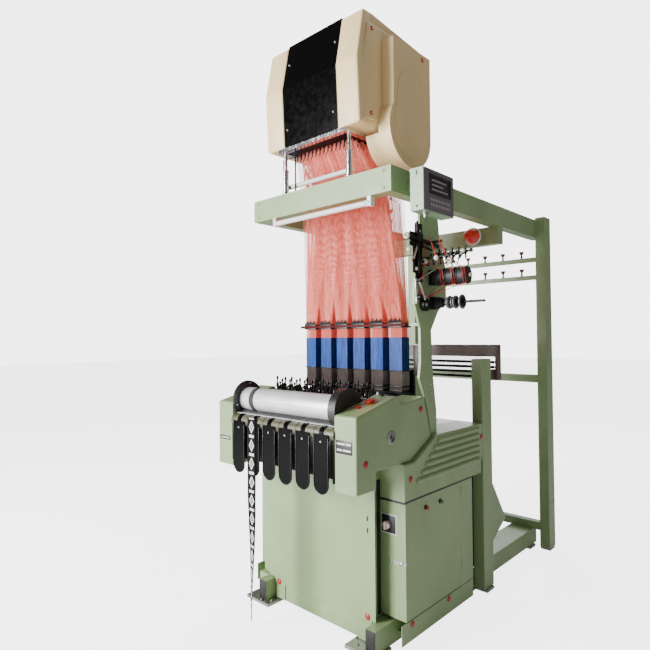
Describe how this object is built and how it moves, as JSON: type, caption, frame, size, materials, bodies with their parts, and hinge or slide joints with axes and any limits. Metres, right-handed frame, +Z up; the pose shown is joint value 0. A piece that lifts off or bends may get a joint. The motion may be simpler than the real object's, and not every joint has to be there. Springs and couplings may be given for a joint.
{
  "type": "computerised jacquard needle loom",
  "caption": "Narrow-fabric needle power loom with a jacquard head on an overhead gantry, harness cords, take-off rollers, chutes, electric box and rear yarn frame",
  "frame": {"origin": "middle of the footprint on the floor", "axes": "X to the machine's right, Y from the front, where the fabric comes off, to the rear, Z up"},
  "size_m": [1.243, 1.9106, 2.855],
  "materials": {
    "sage_paint": "satin sage green enamel",
    "zinc_plate": "zinc plated plate",
    "ground_iron": "ground and oiled casting",
    "machined_steel": "turned steel",
    "grey_enamel": "grey enamel",
    "chrome": "bright plated",
    "pale_plastic": "moulded",
    "red_plastic": "moulded",
    "green_plastic": "moulded",
    "polished_steel": "ground and polished",
    "black_rubber": "smooth",
    "black_plastic": "moulded",
    "olive_enamel": "satin",
    "gloss_black_plastic": "moulded, glossy",
    "black_tape": "woven tape with white figures",
    "black_oxide": "blackened",
    "dark_red_board": "varnished fibre board",
    "salmon_cord": "dense coated cords",
    "blue_spring": "close rows of coated springs",
    "heddle_steel": "close rows of wire heddles",
    "beige_cover": "satin cream enamel",
    "gloss_black_paint": "gloss",
    "bronze_enamel": "satin",
    "lamp_white": "white glass and moulded ends"
  },
  "bodies": {
    "machine": {"base_rails": "sage_paint", "floor_pads": "zinc_plate", "side_frames": "sage_paint", "bed_plate": "ground_iron", "rear_panel": "sage_paint", "drive_motor": "grey_enamel", "front_panel": "sage_paint", "side_skirts": "sage_paint", "electric_box": "sage_paint", "end_housing_left": "sage_paint", "end_housing_right": "sage_paint", "ribbed_cover_left": "sage_paint", "ribbed_cover_right": "sage_paint", "red_caps": "red_plastic", "roller_guards": "black_plastic", "guide_bar": "olive_enamel", "chutes": "gloss_black_plastic", "ribbon": "black_tape", "needle_rail": "black_oxide", "inner_columns": "sage_paint", "rear_frame": "sage_paint", "gantry_front_beam": "sage_paint", "gantry_side_beams": "sage_paint", "stanchion": "sage_paint", "comber_board": "dark_red_board", "harness_cords": "salmon_cord", "spring_packs": "blue_spring", "heddle_packs": "heddle_steel", "head_stand": "chrome", "head_case": "beige_cover", "head_front_panel": "gloss_black_paint", "head_cover_left": "beige_cover", "head_cover_right": "beige_cover", "head_drive_cover": "beige_cover", "yarn_bars": "sage_paint", "stop_motion": "bronze_enamel", "control_box": "sage_paint", "lamp": "lamp_white", "warning_lamp": "red_plastic"},
    "door": {"electric_door": "sage_paint"},
    "latch": {"door_latch": "chrome"},
    "stop_key": {"stop_button": "red_plastic"},
    "start_key": {"start_button": "green_plastic"},
    "switch": {"switch_knob": "pale_plastic"},
    "emergency": {"emergency_button": "red_plastic"},
    "shaft": {"main_shaft": "machined_steel"},
    "motor": {"motor_pulley": "machined_steel"},
    "takeoff": {"takeoff_roller": "polished_steel"},
    "press": {"press_roller": "black_rubber"},
    "sley": {"reed_sley": "machined_steel"},
    "feeder": {"feed_shaft": "machined_steel"},
    "drums": {"feeder_drums": "black_rubber"},
    "knives_lower": {"knife_frame_lower": "machined_steel"},
    "knives_upper": {"knife_frame_upper": "machined_steel"},
    "needle_1": {"weft_needle_1": "machined_steel"},
    "needle_2": {"weft_needle_2": "machined_steel"},
    "needle_3": {"weft_needle_3": "machined_steel"},
    "needle_4": {"weft_needle_4": "machined_steel"},
    "needle_5": {"weft_needle_5": "machined_steel"},
    "needle_6": {"weft_needle_6": "machined_steel"}
  },
  "joints": [
    {"name": "door_hinge", "type": "hinge", "parent": "machine", "child": "door", "pos_m": [0.3765, -0.1627, 0.377], "axis": [0, 0, 1], "range_deg": [0, 110]},
    {"name": "latch_turn", "type": "hinge", "parent": "door", "child": "latch", "pos_m": [0.358, -0.639, 0.371], "axis": [0, 1, 0], "range_deg": [0, 90]},
    {"name": "stop_press", "type": "slide", "parent": "door", "child": "stop_key", "axis": [-1, 0, 0], "range_m": [0, 0.004], "stiffness_N_per_m": 400},
    {"name": "start_press", "type": "slide", "parent": "door", "child": "start_key", "axis": [-1, 0, 0], "range_m": [0, 0.004], "stiffness_N_per_m": 400},
    {"name": "switch_turn", "type": "hinge", "parent": "machine", "child": "switch", "pos_m": [0.2835, -0.6387, 0.524], "axis": [0, 1, 0], "range_deg": [0, 90]},
    {"name": "emergency_press", "type": "slide", "parent": "machine", "child": "emergency", "axis": [0, 0.2241, -0.9746], "range_m": [0, 0.005], "stiffness_N_per_m": 800},
    {"name": "shaft_turn", "type": "hinge", "parent": "machine", "child": "shaft", "pos_m": [-0.1005, -0.7057, 0.921], "axis": [1, 0, 0], "continuous": true},
    {"name": "motor_turn", "type": "hinge", "parent": "machine", "child": "motor", "pos_m": [-0.3455, -0.4117, 0.33], "axis": [1, 0, 0], "continuous": true},
    {"name": "takeoff_turn", "type": "hinge", "parent": "machine", "child": "takeoff", "pos_m": [-0.1005, -0.8467, 1.045], "axis": [1, 0, 0], "continuous": true},
    {"name": "press_turn", "type": "hinge", "parent": "machine", "child": "press", "pos_m": [-0.1005, -0.8767, 0.978], "axis": [1, 0, 0], "continuous": true},
    {"name": "sley_swing", "type": "hinge", "parent": "machine", "child": "sley", "pos_m": [-0.1005, -0.5277, 0.935], "axis": [1, 0, 0], "range_deg": [-6, 8]},
    {"name": "feeder_turn", "type": "hinge", "parent": "machine", "child": "feeder", "pos_m": [0.4595, -0.3667, 1.508], "axis": [1, 0, 0], "continuous": true},
    {"name": "drums_turn", "type": "hinge", "parent": "machine", "child": "drums", "pos_m": [0.4595, -0.3667, 1.628], "axis": [1, 0, 0], "continuous": true},
    {"name": "knives_lower_lift", "type": "slide", "parent": "machine", "child": "knives_lower", "axis": [0, 0, 1], "range_m": [-0.035, 0.035]},
    {"name": "knives_upper_lift", "type": "slide", "parent": "machine", "child": "knives_upper", "axis": [0, 0, 1], "range_m": [-0.035, 0.035]},
    {"name": "needle_1_swing", "type": "hinge", "parent": "machine", "child": "needle_1", "pos_m": [-0.4155, -0.6237, 1.09], "axis": [0, 0, -1], "range_deg": [0, 80]},
    {"name": "needle_2_swing", "type": "hinge", "parent": "machine", "child": "needle_2", "pos_m": [-0.3055, -0.6237, 1.09], "axis": [0, 0, -1], "range_deg": [0, 80]},
    {"name": "needle_3_swing", "type": "hinge", "parent": "machine", "child": "needle_3", "pos_m": [-0.1955, -0.6237, 1.09], "axis": [0, 0, -1], "range_deg": [0, 80]},
    {"name": "needle_4_swing", "type": "hinge", "parent": "machine", "child": "needle_4", "pos_m": [-0.0855, -0.6237, 1.09], "axis": [0, 0, -1], "range_deg": [0, 80]},
    {"name": "needle_5_swing", "type": "hinge", "parent": "machine", "child": "needle_5", "pos_m": [0.0245, -0.6237, 1.09], "axis": [0, 0, -1], "range_deg": [0, 80]},
    {"name": "needle_6_swing", "type": "hinge", "parent": "machine", "child": "needle_6", "pos_m": [0.1345, -0.6237, 1.09], "axis": [0, 0, -1], "range_deg": [0, 80]}
  ],
  "couplings": [
    {"joint": "motor_turn", "follows": "shaft_turn", "ratio": 1.579},
    {"joint": "feeder_turn", "follows": "shaft_turn", "ratio": 0.25},
    {"joint": "drums_turn", "follows": "shaft_turn", "ratio": 0.2},
    {"joint": "press_turn", "follows": "takeoff_turn", "ratio": -3.5625},
    {"joint": "knives_upper_lift", "follows": "knives_lower_lift", "ratio": -1},
    {"joint": "needle_2_swing", "follows": "needle_1_swing", "ratio": 1},
    {"joint": "needle_3_swing", "follows": "needle_1_swing", "ratio": 1},
    {"joint": "needle_4_swing", "follows": "needle_1_swing", "ratio": 1},
    {"joint": "needle_5_swing", "follows": "needle_1_swing", "ratio": 1},
    {"joint": "needle_6_swing", "follows": "needle_1_swing", "ratio": 1}
  ]
}
